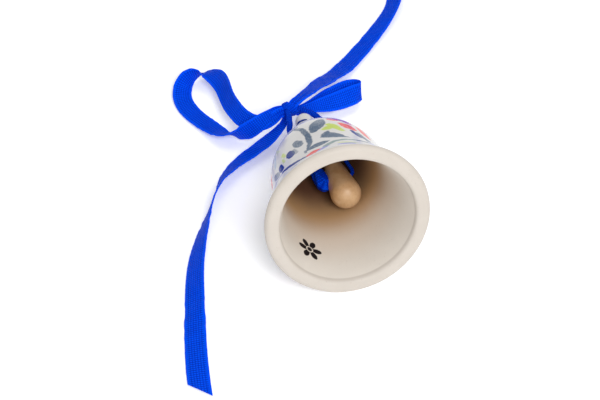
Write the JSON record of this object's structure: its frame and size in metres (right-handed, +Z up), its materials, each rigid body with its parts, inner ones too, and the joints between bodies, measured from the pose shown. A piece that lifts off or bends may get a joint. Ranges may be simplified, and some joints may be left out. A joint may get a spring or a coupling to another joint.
{
  "type": "porcelain bell",
  "caption": "Small porcelain bell lying on its side, with a clay clapper on a narrow ribbon that passes through the crown and ends in a bow with long tails.",
  "frame": {"origin": "on the table, at the middle of the area the whole object covers, under the crown where the ribbon is tied", "axes": "+Z up from the table; +Y horizontal, from the bell's mouth towards its crown; +X to the right when looking into the mouth. The bell lies on its side, its axis dropping 14 degrees from mouth to crown."},
  "size_m": [0.0965, 0.1692, 0.0437],
  "materials": {
    "porcelain": "opaque white glazed porcelain with hand-painted decoration",
    "clay": "bare fired clay",
    "ribbon": "blue woven ribbon"
  },
  "bodies": {
    "bell": {"bell_shell": "porcelain", "hole_ribbon": "ribbon"},
    "hanger": {"hanger_ribbon": "ribbon", "knot": "ribbon"},
    "bow_left": {"bow_loop_left": "ribbon"},
    "bow_right": {"bow_loop_right": "ribbon"},
    "tail_left": {"tail_left_upper": "ribbon"},
    "tail_left_end": {"tail_left_lower": "ribbon"},
    "tail_right": {"tail_right_upper": "ribbon"},
    "tail_right_end": {"tail_right_lower": "ribbon"},
    "clapper_loop": {"clapper_ribbon": "ribbon"},
    "clapper": {"clapper": "clay"}
  },
  "joints": [
    {"name": "hanger_swing", "type": "hinge", "parent": "bell", "child": "hanger", "pos_m": [0, -0.00352, 0.00949], "axis": [0.9511, 0.0748, 0.2998], "range_deg": [0, 25]},
    {"name": "bow_left_lift", "type": "hinge", "parent": "hanger", "child": "bow_left", "pos_m": [-0.0043, 0.0095, 0.0085], "axis": [0.37, 0.929, 0], "range_deg": [0, 30]},
    {"name": "bow_right_swing", "type": "hinge", "parent": "tail_right", "child": "bow_right", "pos_m": [0.0005, 0.0102, 0.0067], "axis": [0, 0, 1], "range_deg": [-15, 0]},
    {"name": "tail_left_droop", "type": "hinge", "parent": "hanger", "child": "tail_left", "pos_m": [-0.0043, 0.0095, 0.0085], "axis": [0.9511, 0.0748, 0.2998], "range_deg": [-22, 0]},
    {"name": "tail_right_droop", "type": "hinge", "parent": "hanger", "child": "tail_right", "pos_m": [-0.0043, 0.0095, 0.0085], "axis": [0.9511, 0.0748, 0.2998], "range_deg": [-29.5, 0]},
    {"name": "tail_left_sweep", "type": "hinge", "parent": "tail_left", "child": "tail_left_end", "pos_m": [-0.031, -0.0186, 0.0032], "axis": [0, 0, 1], "range_deg": [-20, 15]},
    {"name": "tail_right_lift", "type": "hinge", "parent": "tail_right", "child": "tail_right_end", "pos_m": [0.0172, 0.031, 0.0025], "axis": [0.7071, -0.7071, 0], "range_deg": [0, 50]},
    {"name": "clapper_swing", "type": "hinge", "parent": "bell", "child": "clapper_loop", "pos_m": [0, -0.01138, 0.01145], "axis": [-0.9511, -0.0748, -0.2998], "range_deg": [0, 30]},
    {"name": "clapper_rock", "type": "hinge", "parent": "clapper_loop", "child": "clapper", "pos_m": [0.00434, -0.0251, 0.0095], "axis": [-0.9858, -0.1154, -0.1222], "range_deg": [0, 12]}
  ],
  "couplings": [
    {"joint": "tail_left_droop", "follows": "hanger_swing", "ratio": -0.87},
    {"joint": "tail_right_droop", "follows": "hanger_swing", "ratio": -1.167}
  ]
}
